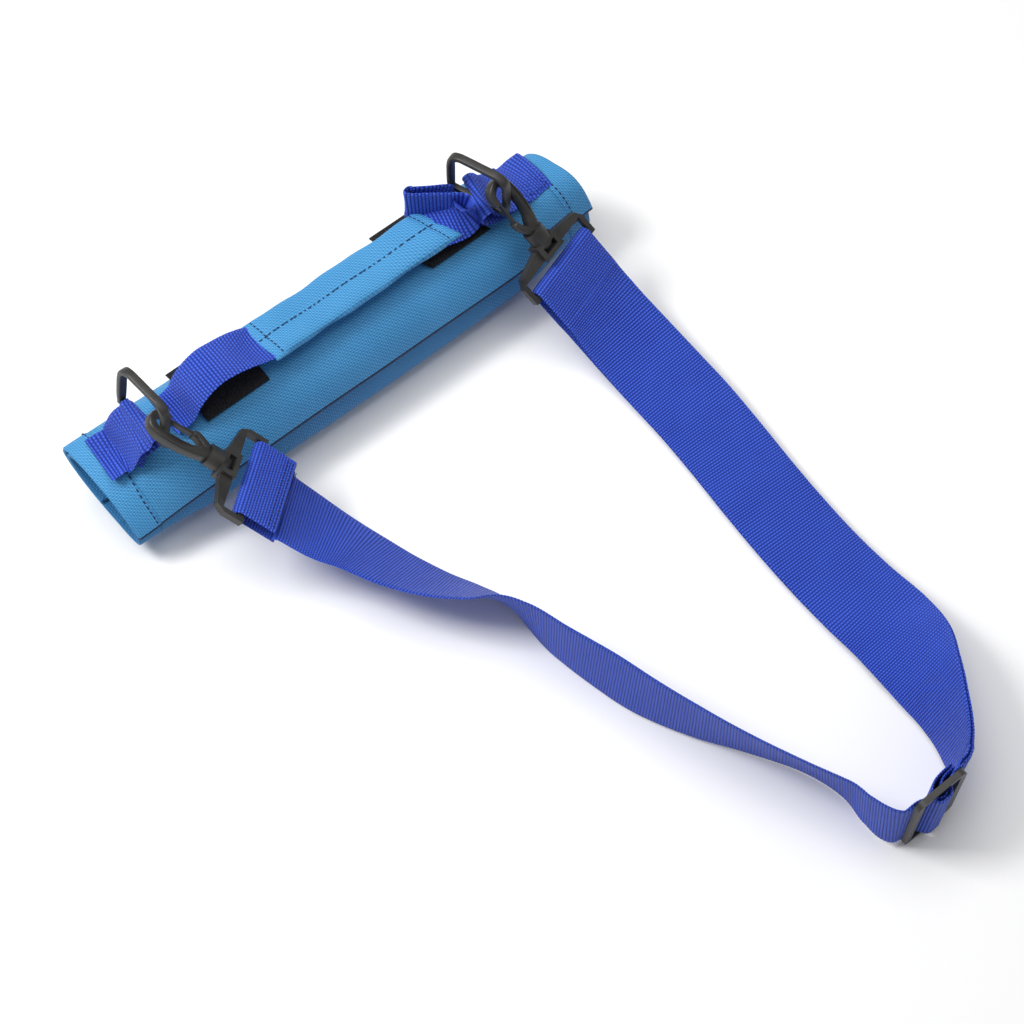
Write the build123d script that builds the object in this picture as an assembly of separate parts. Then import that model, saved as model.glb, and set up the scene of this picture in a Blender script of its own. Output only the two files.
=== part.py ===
from build123d import *
import math
import os

# Rolled carrier sling: a rolled fabric panel with two ring tabs, a padded carry handle and
# two closure strips, and a shoulder strap clipped to the rings by two swivel snap hooks.
# Millimetres.  X runs along the roll, +Z is up, the origin is on the floor under the roll.

roll_length = 320.0
roll_radius = 30.5
roll_flat = 6.0
roll_y = -1.5
roll_pitch = 4.4
fabric = 1.5
hem_width = 15.0
hem_thickness = 2.4
roll_half_turns = 3
roll_top = 2 * roll_radius
free_edge_angle = 76.0

webbing_narrow = 30.0
webbing_handle = 26.0
webbing_wide = 50.0
webbing_thickness = 1.6
layer_pitch = 2.0

ring_inner = 32.0
ring_height = 30.0
ring_section = 4.0
ring_bar_radius = 1.9
tab_hole_radius = 2.3
tab_band = 3.2

hook_half_width = 8.5
hook_thickness = 6.0
loop_width = 58.0
strap_cut = 98.0
sewn_tail_end = 95.0
loop_bar_x = 73.75
bar_room = 2.95

slider_width = 34.0
slider_height = 57.0
slider_bar = 4.5
slider_depth = 3.6
slider_centre = (70.0, -420.0)


def save(solid, name):
    solid.label = name
    export_step(solid, f"parts/{name}.step")


def box_between(low, high):
    size = [b - a for a, b in zip(low, high)]
    middle = [(a + b) / 2 for a, b in zip(low, high)]
    return Pos(*middle) * Box(*size)


# ---------------------------------------------------------------- rolled panel

def spiral_edges(offset):
    """One side of the rolled sheet, seen along X as (y, z), from the free edge inwards."""
    half = roll_flat / 2
    centre = roll_radius
    first = roll_radius - fabric / 2 + offset
    top = centre + first
    outermost = first + roll_pitch / 2
    edges = [
        CenterArc((-half, top - outermost), outermost, 90 + free_edge_angle, -free_edge_angle),
        Line((-half, top), (half, top)),
    ]
    radius = first
    side = 1
    for turn in range(roll_half_turns):
        finish = centre - radius if side > 0 else centre + radius
        angle = 90 if side > 0 else 270
        edges.append(CenterArc((side * half, centre), radius, angle, -180))
        if turn < roll_half_turns - 1:
            edges.append(Line((side * half, finish), (-side * half, finish)))
        next_radius = radius - roll_pitch / 2
        centre = finish + next_radius if side > 0 else finish - next_radius
        radius = next_radius
        side = -side
    return edges


def rolled_sheet(x_low, x_high, thickness):
    outer = spiral_edges(fabric / 2)
    inner = spiral_edges(fabric / 2 - thickness)
    start_cap = Line(outer[0] @ 0, inner[0] @ 0)
    end_cap = Line(outer[-1] @ 1, inner[-1] @ 1)
    profile = make_face(outer + [end_cap] + inner + [start_cap])
    plane = Plane(origin=(x_low, roll_y, 0), x_dir=(0, 1, 0), z_dir=(1, 0, 0))
    return extrude(plane * profile, x_high - x_low)


def make_roll():
    half = roll_length / 2
    inner_half = half - hem_width
    save(rolled_sheet(-inner_half, inner_half, fabric), "roll_panel")
    save(rolled_sheet(-half, -inner_half, hem_thickness), "hem_left")
    save(rolled_sheet(inner_half, half, hem_thickness), "hem_right")


def shell_strip(x_low, x_high, reach, height, thickness):
    """A strip lying over the roll's top, following it from -reach to +reach degrees."""
    half = roll_flat / 2
    low = roll_radius + height
    high = low + thickness
    front, back = reach

    wider = roll_pitch / 2

    def side(radius):
        return [
            CenterArc((-half, roll_radius - wider), radius + wider, 90 + front, -front),
            Line((-half, roll_radius + radius), (half, roll_radius + radius)),
            CenterArc((half, roll_radius), radius, 90, -back),
        ]

    outer = side(high)
    inner = side(low)
    caps = [Line(outer[0] @ 0, inner[0] @ 0), Line(outer[-1] @ 1, inner[-1] @ 1)]
    profile = make_face(outer + inner + caps)
    plane = Plane(origin=(x_low, roll_y, 0), x_dir=(0, 1, 0), z_dir=(1, 0, 0))
    return extrude(plane * profile, x_high - x_low)


# ---------------------------------------------------------------- ring tabs and rings

class RingPlace:
    def __init__(self, side, bar, yaw, hem_x, lean):
        self.side = side
        self.bar = bar
        self.yaw = yaw
        self.hem_x = hem_x
        self.lean = lean

    def plane(self):
        """Local X points from the hem to the bar, local Y along the bar, Z up."""
        way = 1 if self.side == "left" else -1
        turned = math.radians(self.yaw)
        return Plane(origin=self.bar, x_dir=(way * math.cos(turned), way * math.sin(turned), 0), z_dir=(0, 0, 1))


left_ring = RingPlace("left", (-127.0, -1.0, 76.0), 4.0, -146.0, 11.5)
right_ring = RingPlace("right", (103.0, -3.0, 76.0), 20.0, 141.0, -1.0)


def make_tab(place):
    frame = place.plane()
    way = 1 if place.side == "left" else -1
    half = webbing_narrow / 2
    run = abs(place.bar[0] - place.hem_x)
    foot_z = roll_top - place.bar[2] + 1.2
    base_low = min(place.hem_x - way * 13, place.hem_x + way * 9)
    base_high = max(place.hem_x - way * 13, place.hem_x + way * 9)
    base = shell_strip(base_low, base_high, (20, 20), 0.0, webbing_thickness)
    outer_r = tab_hole_radius + webbing_thickness
    hub = extrude(Plane.XZ * Circle(outer_r), half, both=True)
    points = [(-run, foot_z), (-run * 0.62, foot_z + 1.5), (-run * 0.2, -outer_r * 0.85),
              (0, -outer_r), (0, outer_r), (-run * 0.3, outer_r * 0.7),
              (-run * 0.7, foot_z + 1.5 + tab_band), (-run, foot_z + tab_band * 0.8)]
    band = extrude(Plane.XZ * make_face(Polyline(*points, close=True)), half, both=True)
    loop = band + hub - extrude(Plane.XZ * Circle(tab_hole_radius), half + 1, both=True)
    tab = base + frame * loop
    save(tab, f"tab_{place.side}")


def make_ring(place):
    section = ring_section
    outer_w = ring_inner + 2 * section
    outer_h = ring_height + section
    blank = Pos(0, outer_h / 2 - section / 2, 0) * RectangleRounded(outer_w, outer_h, 7)
    hole_h = ring_height - section
    hole = Pos(0, section / 2 + hole_h / 2, 0) * RectangleRounded(ring_inner, hole_h, 3.5)
    foot = Rectangle(ring_inner, section * 2.2)
    frame_face = Plane(origin=(0, 0, 0), x_dir=(0, 1, 0), z_dir=(1, 0, 0)) * (blank - hole - foot)
    loop = extrude(frame_face, section / 2, both=True)
    bar = extrude(Plane.XZ * Circle(ring_bar_radius), ring_inner / 2 + 1, both=True)
    ring = place.plane() * (Rot(0, place.lean, 0) * (loop + bar))
    save(ring, f"ring_{place.side}")


# ---------------------------------------------------------------- swivel snap hooks

class HookPlace:
    """Local X runs from the claw's nose to the strap loop, local Y along the loop's bar."""

    def __init__(self, side, nose, yaw, pitch, roll, claw_turn):
        self.side = side
        self.nose = nose
        self.claw_turn = claw_turn
        yaw, pitch, roll = map(math.radians, (yaw, pitch, roll))
        along = Vector(math.sin(yaw) * math.cos(pitch), -math.cos(yaw) * math.cos(pitch), -math.sin(pitch))
        flat = Vector(math.cos(yaw), math.sin(yaw), 0)
        up = along.cross(flat)
        bar = flat * math.cos(roll) + up * math.sin(roll)
        self.along = along
        self.bar = bar
        self.out = along.cross(bar)
        self.plane = Plane(origin=nose, x_dir=along, z_dir=self.out)

    def point(self, x, y=0.0, z=0.0):
        return Vector(*self.nose) + self.along * x + self.bar * y + self.out * z


left_hook = HookPlace("left", (-129.8, -5.8, 98.4), 32.0, 36.0, -14.0, 0.0)
right_hook = HookPlace("right", (104.0, -7.2, 103.8), 22.0, 47.0, 8.0, 180.0)


def make_hook_body(place):
    claw = Pos(25, 0, 0) * RectangleRounded(38, 2 * hook_half_width, 8.3)
    eye = Pos(23.5, 0.25, 0) * RectangleRounded(25, 10.1, 4.9)
    mouth = Pos(26, 7.0, 0) * Rectangle(19.5, 5.6)
    claw_solid = extrude(claw - eye - mouth, hook_thickness / 2, both=True)
    groove = Pos(25, -6.8, hook_thickness / 2) * Box(24, 1.6, 2.0)
    stem = Plane(origin=(43, 0, 0), z_dir=(1, 0, 0)) * Cylinder(3.0, 15, align=(Align.CENTER, Align.CENTER, Align.MIN))
    barb = Plane(origin=(56.2, 0, 0), z_dir=(1, 0, 0)) * Cone(4.1, 3.2, 3, align=(Align.CENTER, Align.CENTER, Align.MIN))
    body = claw_solid - groove + stem + barb
    turned = Rot(place.claw_turn, 0, 0) * body
    save(place.plane * turned, f"hook_body_{place.side}")


def make_gate(place):
    leaf = box_between((16.7, 5.5, -2.4), (34.6, 6.7, 2.4))
    knuckle = Pos(34.4, 6.1, 0) * Cylinder(0.9, 4.8)
    gate = Rot(place.claw_turn, 0, 0) * (leaf + knuckle)
    save(place.plane * gate, f"gate_{place.side}")


def make_swivel(place):
    barrel = Plane(origin=(45.0, 0, 0), z_dir=(1, 0, 0)) * Cylinder(6.4, 8.5, align=(Align.CENTER, Align.CENTER, Align.MIN))
    yoke = box_between((53.0, -8.0, -5.0), (63.0, 8.0, 5.0))
    half = loop_width / 2
    outline = Polyline((55, -10), (58.5, -half + 3), (64, -half), (76, -half), (76, half),
                       (64, half), (58.5, half - 3), (55, 10), close=True)
    frame = extrude(make_face(outline), 2.2, both=True)
    slot = box_between((62.5, -26.0, -4.0), (71.9, 26.0, 4.0))
    ease = box_between((75.6, -26.0, -4.0), (77.0, 26.0, 4.0))
    bore = Plane(origin=(44, 0, 0), z_dir=(1, 0, 0)) * Cylinder(3.4, 13, align=(Align.CENTER, Align.CENTER, Align.MIN))
    room = box_between((55.8, -4.8, -6.0), (60.2, 4.8, 6.0))
    swivel = barrel + yoke + frame - slot - ease - bore - room
    save(place.plane * swivel, f"swivel_loop_{place.side}")


def strap_round_bar(place, upper_end, lower_end):
    """Webbing turned round the loop's bar and lying back along itself."""
    half = webbing_wide / 2
    outer = bar_room + webbing_thickness
    upper = box_between((loop_bar_x, -half, bar_room), (upper_end, half, outer))
    lower = box_between((loop_bar_x, -half, -outer), (lower_end, half, -bar_room))
    turn = Pos(loop_bar_x, 0, 0) * Rot(90, 0, 0) * (Cylinder(outer, 2 * half) - Cylinder(bar_room, 2 * half + 1))
    turn = turn & box_between((60, -half, -9), (loop_bar_x, half, 9))
    return place.plane * (upper + lower + turn)


def make_strap_ends():
    save(strap_round_bar(left_hook, sewn_tail_end, strap_cut), "strap_end_sewn")
    save(strap_round_bar(right_hook, strap_cut, strap_cut), "strap_turn")


# ---------------------------------------------------------------- strap on the floor

# Each station: centre x, y, z, then the direction across the webbing, x, y, z.
left_route = [
    ((-79.0, -91.0, 24.5), (36, 19, -24)),
    ((-70.0, -109.0, 19.0), (35, 20, -29)),
    ((-61.0, -132.0, 19.0), (33, 19, -33)),
    ((-50.5, -153.0, 20.5), (29, 18, -37)),
    ((-39.0, -170.0, 22.0), (23, 17, -41)),
    ((-29.5, -184.0, 23.5), (15, 15, -45)),
    ((-24.0, -203.0, 25.0), (3, 14, -48)),
    ((-19.5, -226.0, 25.2), (-4, 14, -48)),
    ((-12.5, -252.0, 25.2), (-8, 13, -47.6)),
    ((-4.5, -279.0, 25.4), (-8, 12, -48)),
    ((7.0, -307.0, 25.5), (-3, 11, -49)),
    ((20.5, -334.0, 25.6), (5, 11, -48.5)),
    ((34.0, -361.0, 25.6), (10, 10, -48)),
    ((42.5, -383.0, 25.6), (8, 8, -48.8)),
    ((44.0, -400.0, 25.8), (3, 4, -49.7)),
    ((46.5, -410.0, 26.0), (0, 1, -50)),
]

right_route = [
    ((131.8, -79.0, 23.2), (48.4, 11, 6)),
    ((134.6, -93.0, 15.2), (49.2, 6, 6)),
    ((136.4, -111.0, 10.0), (49.5, 3, 7)),
    ((137.0, -133.0, 7.5), (49.5, 2, 7)),
    ((137.0, -158.0, 6.2), (50, 1, 6)),
    ((135.5, -187.0, 5.0), (50, 1, 4)),
    ((133.0, -217.0, 4.6), (50, 2, 3)),
    ((131.0, -247.0, 4.6), (50, 4, 3)),
    ((130.0, -276.0, 5.0), (50, 5, 4)),
    ((130.0, -303.0, 6.8), (49.5, 4, 7)),
    ((130.0, -328.0, 11.0), (47.5, 1, 15)),
    ((126.0, -350.0, 18.5), (39, -3, 30)),
    ((119.5, -369.0, 24.0), (25, -6, 43)),
    ((113.0, -386.0, 26.0), (12, -9, 47.6)),
    ((106.0, -401.0, 26.4), (4, -8, 49)),
    ((99.0, -411.0, 26.4), (0, -4, 50)),
    ((92.0, -415.6, 26.4), (0, -1, 50)),
]


def ribbon(route, shifts):
    """Webbing through the stations; each shift moves it along its own face normal."""
    sections = []
    last = len(route) - 1
    for index, (centre, across) in enumerate(route):
        before = Vector(*route[max(index - 1, 0)][0])
        after = Vector(*route[min(index + 1, last)][0])
        across = Vector(*across).normalized()
        along = (after - before).normalized()
        along = (along - across * along.dot(across)).normalized()
        plane = Plane(origin=Vector(*centre), x_dir=across, z_dir=along)
        shift = shifts[min(index, len(shifts) - 1)]
        sections.append(plane * Pos(0, shift, 0) * Rectangle(webbing_wide, webbing_thickness))
    return loft(Sketch() + sections, ruled=True)


def make_floor_strap():
    """The runs start just past the hooks' own webbing, in line with it."""
    layer = bar_room + webbing_thickness / 2
    start = strap_cut + 0.6
    left_start = left_hook.point(start, 0, -layer)
    left = [(tuple(left_start), tuple(left_hook.bar))] + left_route
    save(ribbon(left, [0.0]), "strap_single_run")
    right_start = right_hook.point(start)
    right = [(tuple(right_start), tuple(right_hook.bar))] + right_route
    half = layer_pitch / 2
    opening = [layer, (layer + half) / 2, half * 1.2, half]
    save(ribbon(right, [-gap for gap in opening]), "strap_outer_run")
    save(ribbon(right, opening), "strap_inner_run")


# ---------------------------------------------------------------- tri-glide slider

def make_slider():
    cx, cy = slider_centre
    outer = RectangleRounded(slider_width, slider_height, 5)
    slot_w = (slider_width - 3 * slider_bar) / 2
    slots = [Pos(s * (slot_w + slider_bar) / 2, 0) * Rectangle(slot_w, slider_height - 6) for s in (-1, 1)]
    plane = Plane(origin=(cx, cy, slider_height / 2), x_dir=(1, 0, 0), z_dir=(0, -1, 0))
    save(extrude(plane * (outer - slots[0] - slots[1]), slider_depth / 2, both=True), "tri_glide")


def make_slider_webbing():
    """The running layer over the middle bar and the sewn end round it."""
    cx, cy = slider_centre
    t = webbing_thickness
    low, high = 3.5, 53.5
    front = cy - slider_depth / 2 - 0.3
    back = cy + slider_depth / 2 + 0.3
    points = [(cx - 19, back), (cx - 12.5, back), (cx - 4.0, front - 1.8), (cx + 4.0, front - 1.8),
              (cx + 12.5, back), (cx + 19, back)]
    outer = [(x, y + (t if y == back else 0)) for x, y in points]
    inner = [(x, y - (0 if y == back else t)) for x, y in points]
    face = make_face(Polyline(*outer, *reversed(inner), close=True))
    running = extrude(Plane(origin=(0, 0, low)) * face, high - low)
    save(running, "strap_weave")
    r = slider_bar / 2 + 0.25
    wrap = Rectangle(2 * r + 0.9, slider_depth + 0.6 + 1.4) - Rectangle(2 * r - 0.5, slider_depth + 0.3)
    tail = Pos(7.4, slider_depth / 2 + 3.4) * Rectangle(16, 1.4)
    link = Pos(0, slider_depth / 2 + 2.2) * Rectangle(2.4, 2.6)
    sewn = extrude(Plane(origin=(cx, cy, low)) * (wrap + link + tail), high - low)
    save(sewn, "strap_sewn_end")


# ---------------------------------------------------------------- carry handle and closures

handle_left_x = -106.0
handle_right_x = 90.0
sleeve_left_x = -52.0
sleeve_right_x = 69.0
handle_z = 69.5
foot_half = 2.0
flap_length = 17.0
flap_slope = 24.0
flap_hinge_y = 10.9
flap_hinge_z = 60.9


def make_handle():
    half = webbing_handle / 2
    t = 2.2
    left = [(handle_left_x + 4.4, roll_top + 4.2), (-97, 78.0), (-86, 84.5), (-75, 86.0), (-64, 81.5), (-56.5, 75.5),
            (-50, handle_z + 2)]
    right = [(66, handle_z + 2), (70, 76), (64, 88), (72, 92), (84, 88), (handle_right_x - 2.0, 78.0),
             (handle_right_x + 2.6, roll_top + 4.2)]
    top = [(x, z + t) for x, z in left + right[:1]]
    strip = Polyline(*left, (66, handle_z + 2), (66, handle_z + 2 + t), *reversed(top[:-1]), close=True)
    webbing = extrude(Plane.XZ * make_face(strip), half, both=True)
    rise = [(66, handle_z + 2), (74, handle_z + 4), (80, 82), (87, 84), (90.5, 78), (91.5, roll_top + 4.2)]
    back = [(94.2, roll_top + 4.2), (93.6, 79), (88.5, 87), (79, 85), (72.5, handle_z + 6.2), (66, handle_z + 4.2)]
    webbing = webbing + extrude(Plane.XZ * make_face(Polyline(*rise, *back, close=True)), half, both=True)
    foot_z = roll_top + 3.5
    outline = Polyline((-half, 110), (-half, 71), (-foot_half, foot_z), (foot_half, foot_z), (half, 71), (half, 110),
                       close=True)
    taper = extrude(Plane.YZ * make_face(outline), roll_length / 2, both=True)
    save(webbing & taper, "handle_webbing")
    shell = Plane.YZ * (Pos(0, handle_z + 3.1) * RectangleRounded(29, 8.2, 3.5))
    hollow = Plane.YZ * (Pos(0, handle_z + 3.1) * Rectangle(26.4, 3.0))
    length = sleeve_right_x - sleeve_left_x - 8
    start = Pos(sleeve_left_x + 4, 0, 0)
    save(start * extrude(shell - hollow, length), "handle_sleeve")


def make_anchors():
    for name, x in (("left", handle_left_x), ("right", handle_right_x)):
        save(shell_strip(x - 5, x + 9, (20, 20), 0.0, 3.0), f"handle_anchor_{name}")


def make_closures():
    """Each closure strip is sewn over the roll; its back end is a flap that peels up."""
    for side, low, high in (("left", -96.0, -54.0), ("right", 46.0, 83.5)):
        save(shell_strip(low, high, (18, 16), 0.15, 1.6), f"closure_strip_{side}")
        flap = Rot(-flap_slope, 0, 0) * box_between((low, 0, 0), (high, flap_length, 1.4))
        save(Pos(0, flap_hinge_y, flap_hinge_z) * flap, f"closure_flap_{side}")


os.makedirs("parts", exist_ok=True)
make_roll()
for ring_place in (left_ring, right_ring):
    make_tab(ring_place)
    make_ring(ring_place)
for hook_place in (left_hook, right_hook):
    make_hook_body(hook_place)
    make_gate(hook_place)
    make_swivel(hook_place)
make_strap_ends()
make_floor_strap()
make_slider()
make_slider_webbing()
make_handle()
make_anchors()
make_closures()
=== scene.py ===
import math

import bpy
import numpy as np
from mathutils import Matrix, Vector


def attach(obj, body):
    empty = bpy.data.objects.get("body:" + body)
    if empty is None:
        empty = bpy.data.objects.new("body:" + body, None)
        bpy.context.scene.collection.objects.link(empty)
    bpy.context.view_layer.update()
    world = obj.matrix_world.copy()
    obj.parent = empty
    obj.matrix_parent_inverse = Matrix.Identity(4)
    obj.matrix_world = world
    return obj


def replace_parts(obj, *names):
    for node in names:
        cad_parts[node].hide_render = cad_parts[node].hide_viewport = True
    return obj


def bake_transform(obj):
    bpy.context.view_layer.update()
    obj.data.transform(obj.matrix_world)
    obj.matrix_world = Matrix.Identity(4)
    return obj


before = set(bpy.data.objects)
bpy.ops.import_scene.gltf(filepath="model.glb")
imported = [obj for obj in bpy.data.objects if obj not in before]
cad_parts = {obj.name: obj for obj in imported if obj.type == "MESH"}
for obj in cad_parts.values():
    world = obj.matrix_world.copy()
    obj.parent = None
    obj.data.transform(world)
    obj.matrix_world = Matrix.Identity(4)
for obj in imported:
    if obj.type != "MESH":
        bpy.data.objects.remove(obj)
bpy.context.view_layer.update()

# Lengths below are in millimetres, and MM turns them into the scene's metres.
MM = 0.001
strap_width, tab_width, handle_width = 50.0, 30.0, 26.0
webbing_thickness = 1.5
wide_rib, narrow_rib = 1.75, 2.0

# ---------------------------------------------------------------- camera, light, floor


def aim(obj, target):
    """Turn a camera or light to look at a point."""
    obj.rotation_mode = "QUATERNION"
    obj.rotation_quaternion = (Vector(target) - obj.location).to_track_quat("-Z", "Y")


def make_camera(azimuth, elevation, target, distance, view_angle):
    a, e = math.radians(azimuth), math.radians(elevation)
    back = Vector((math.sin(a) * math.cos(e), -math.cos(a) * math.cos(e), math.sin(e)))
    data = bpy.data.cameras.new("camera")
    data.sensor_width = 36
    data.lens = 18 / math.tan(math.radians(view_angle) / 2)
    obj = bpy.data.objects.new("camera", data)
    bpy.context.scene.collection.objects.link(obj)
    obj.location = Vector(target) + back * distance
    aim(obj, target)
    bpy.context.scene.camera = obj


def area_light(name, place, power, size, target):
    data = bpy.data.lights.new(name, "AREA")
    data.energy = power
    data.size = size
    obj = bpy.data.objects.new(name, data)
    bpy.context.scene.collection.objects.link(obj)
    obj.location = place
    aim(obj, target)


def make_stage():
    world = bpy.data.worlds.new("studio")
    bpy.context.scene.world = world
    world.use_nodes = True
    sky = world.node_tree.nodes["Background"]
    sky.inputs["Color"].default_value = (1, 1, 1, 1)
    sky.inputs["Strength"].default_value = 0.26
    area_light("key", place=(-0.70, 0.55, 1.25), power=15, size=0.5, target=(0, -0.15, 0))
    area_light("overhead", place=(0.05, 0.15, 1.7), power=15, size=1.3, target=(0.05, -0.1, 0))
    area_light("fill", place=(0.9, -0.9, 1.3), power=2.5, size=1.2, target=(0, -0.15, 0))
    bpy.context.scene.view_settings.view_transform = "Standard"
    mesh = bpy.data.meshes.new("floor")
    side = 4.0
    corners = [(-side, -side, 0), (side, -side, 0), (side, side, 0), (-side, side, 0)]
    mesh.from_pydata(corners, [], [(0, 1, 2, 3)])
    floor = bpy.data.objects.new("floor", mesh)
    bpy.context.scene.collection.objects.link(floor)
    material = bpy.data.materials.new("floor")
    material.use_nodes = True
    shader = material.node_tree.nodes["Principled BSDF"]
    shader.inputs["Base Color"].default_value = (0.98, 0.98, 0.98, 1)
    shader.inputs["Roughness"].default_value = 0.9
    shader.inputs["Specular IOR Level"].default_value = 0.1
    mesh.materials.append(material)


make_camera(azimuth=-39.07, elevation=63.5, target=(0.01702, -0.13883, 0.0), distance=1.3564, view_angle=24.0)
make_stage()

# ---------------------------------------------------------------- materials


class Nodes:
    """A short way to wire a material: each call adds a node and returns its output."""

    def __init__(self, name):
        self.material = bpy.data.materials.new(name)
        self.material.use_nodes = True
        self.tree = self.material.node_tree
        self.shader = self.tree.nodes["Principled BSDF"]

    def put(self, socket, value):
        if isinstance(value, bpy.types.NodeSocket):
            self.tree.links.new(value, socket)
        else:
            socket.default_value = value

    def math(self, kind, a, b=0.0):
        node = self.tree.nodes.new("ShaderNodeMath")
        node.operation = kind
        for socket, value in zip(node.inputs, (a, b)):
            self.put(socket, value)
        return node.outputs[0]

    def uv(self):
        node = self.tree.nodes.new("ShaderNodeUVMap")
        split = self.tree.nodes.new("ShaderNodeSeparateXYZ")
        self.put(split.inputs[0], node.outputs[0])
        return split.outputs[0], split.outputs[1]

    def place(self):
        return self.tree.nodes.new("ShaderNodeTexCoord").outputs["Object"]

    def noise(self, where, scale, detail=3.0):
        node = self.tree.nodes.new("ShaderNodeTexNoise")
        self.put(node.inputs["Vector"], where)
        node.inputs["Scale"].default_value = scale
        node.inputs["Detail"].default_value = detail
        return node.outputs["Fac"]

    def ramp(self, factor, stops):
        node = self.tree.nodes.new("ShaderNodeValToRGB")
        self.put(node.inputs[0], factor)
        elements = node.color_ramp.elements
        while len(elements) < len(stops):
            elements.new(0.5)
        for element, (position, colour) in zip(elements, stops):
            element.position = position
            element.color = (*colour, 1)
        return node.outputs["Color"]

    def bump(self, height, strength, distance):
        node = self.tree.nodes.new("ShaderNodeBump")
        node.inputs["Strength"].default_value = strength
        node.inputs["Distance"].default_value = distance
        self.put(node.inputs["Height"], height)
        self.put(self.shader.inputs["Normal"], node.outputs[0])

    def wave(self, coordinate, pitch):
        """A row of rounded ridges, 0 in the grooves and 1 on the crowns."""
        turn = self.math("MULTIPLY", coordinate, math.pi / pitch)
        return self.math("ABSOLUTE", self.math("SINE", turn))


def webbing_material(name, pitch):
    """Ribs across the webbing, broken into short lengthwise floats like a basket weave, with painted shade in
    the grooves.
    """
    n = Nodes(name)
    along, across = n.uv()
    rib = n.wave(along, pitch)
    row = n.math("FLOOR", n.math("DIVIDE", along, pitch))
    shifted = n.math("ADD", across, n.math("MULTIPLY", row, pitch * 0.5))
    column = n.wave(shifted, pitch)
    weave = n.math("MULTIPLY", rib, n.math("ADD", n.math("MULTIPLY", column, 0.62), 0.38))
    # The colour follows the weave's height: the grooves between ribs and floats carry painted shade, the
    # crowns are lighter.
    tone = n.math("ADD", weave, n.math("MULTIPLY", n.noise(n.place(), 60.0), 0.18))
    stops = [(0.10, (0.007, 0.016, 0.17)), (0.5, (0.022, 0.060, 0.46)), (1.0, (0.052, 0.130, 0.70))]
    n.put(n.shader.inputs["Base Color"], n.ramp(tone, stops))
    n.shader.inputs["Roughness"].default_value = 0.58
    n.shader.inputs["Specular IOR Level"].default_value = 0.28
    n.shader.inputs["Sheen Weight"].default_value = 0.06
    n.shader.inputs["Sheen Roughness"].default_value = 0.4
    n.bump(weave, 0.8, 0.0006)
    return n.material


def fabric_material(name, shade=1.0, rolled=False):
    """Oxford cloth: a small basket weave, its grooves darkened by painted shade; rolled adds painted shade on
    the sheet covered by the free edge and a painted shadow line along that edge.
    """
    thread_pitch = 1.35
    painted_shadow_line_width = 1.3
    painted_shade_from = 120.0
    n = Nodes(name)
    along, across = n.uv()
    warp = n.wave(along, thread_pitch)
    weft = n.wave(across, thread_pitch)
    check = n.math("MULTIPLY", warp, weft)
    diagonal = n.wave(n.math("ADD", along, across), 2 * thread_pitch)
    weave = n.math("ADD", n.math("MULTIPLY", check, 0.6), n.math("MULTIPLY", diagonal, 0.3))
    # The colour follows the weave's height, so the gaps between threads carry painted shade.
    tone = n.math("ADD", weave, n.math("MULTIPLY", n.noise(n.place(), 35.0), 0.25))
    tone = n.math("MAXIMUM", tone, 0.14)
    if rolled:
        # Painted shade: further along the sheet than the free edge's reach, where the flap covers the layer
        # below, the cloth is darkened.
        under = n.math("GREATER_THAN", along, painted_shade_from)
        # Painted shadow: the first millimetres from the free edge are pushed to the darkest colour, standing
        # in for the shadow under the lifted edge.
        painted_edge_shadow = n.math("LESS_THAN", along, painted_shadow_line_width)
        tone = n.math("SUBTRACT", tone, n.math("MULTIPLY", under, 0.34))
        tone = n.math("SUBTRACT", n.math("MAXIMUM", tone, 0.10), painted_edge_shadow)
    # deep is the colour of the painted shadow line along the free edge; only that line reaches it.
    deep = (0.004, 0.018, 0.060)
    low = tuple(c * shade for c in (0.018, 0.135, 0.33))
    middle = tuple(c * shade for c in (0.050, 0.265, 0.55))
    high = tuple(c * shade for c in (0.110, 0.400, 0.72))
    n.put(n.shader.inputs["Base Color"], n.ramp(tone, [(0.0, deep), (0.1, low), (0.55, middle), (1.0, high)]))
    n.shader.inputs["Roughness"].default_value = 0.62
    n.shader.inputs["Specular IOR Level"].default_value = 0.3
    n.shader.inputs["Sheen Weight"].default_value = 0.05
    n.bump(weave, 0.7, 0.0004)
    return n.material


def plastic_material():
    """Black moulded plastic with a faint grain and patchy gloss."""
    n = Nodes("black_plastic")
    where = n.place()
    fine = n.noise(where, 1400.0, 2.0)
    broad = n.noise(where, 90.0)
    stops = [(0.3, (0.022, 0.021, 0.020)), (0.75, (0.045, 0.043, 0.040))]
    n.put(n.shader.inputs["Base Color"], n.ramp(broad, stops))
    n.put(n.shader.inputs["Roughness"], n.math("ADD", n.math("MULTIPLY", broad, 0.2), 0.32))
    n.shader.inputs["Specular IOR Level"].default_value = 0.5
    n.bump(fine, 0.15, 0.0002)
    return n.material


def closure_material():
    """The dense short loops of hook-and-loop tape."""
    n = Nodes("closure_tape")
    loops = n.noise(n.place(), 1100.0, 4.0)
    stops = [(0.3, (0.006, 0.006, 0.007)), (0.8, (0.035, 0.035, 0.038))]
    n.put(n.shader.inputs["Base Color"], n.ramp(loops, stops))
    n.shader.inputs["Roughness"].default_value = 0.9
    n.shader.inputs["Specular IOR Level"].default_value = 0.15
    n.bump(loops, 0.8, 0.0006)
    return n.material


def thread_material(name, colour):
    """Twisted thread, with painted shade in its grooves."""
    n = Nodes(name)
    twist = n.noise(n.place(), 2600.0, 2.0)
    # The darker stop is painted shade in the twist's grooves, where the bump is low.
    dark = tuple(c * 0.5 for c in colour)
    n.put(n.shader.inputs["Base Color"], n.ramp(twist, [(0.3, dark), (0.7, colour)]))
    n.shader.inputs["Roughness"].default_value = 0.6
    n.bump(twist, 0.4, 0.0002)
    return n.material


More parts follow.
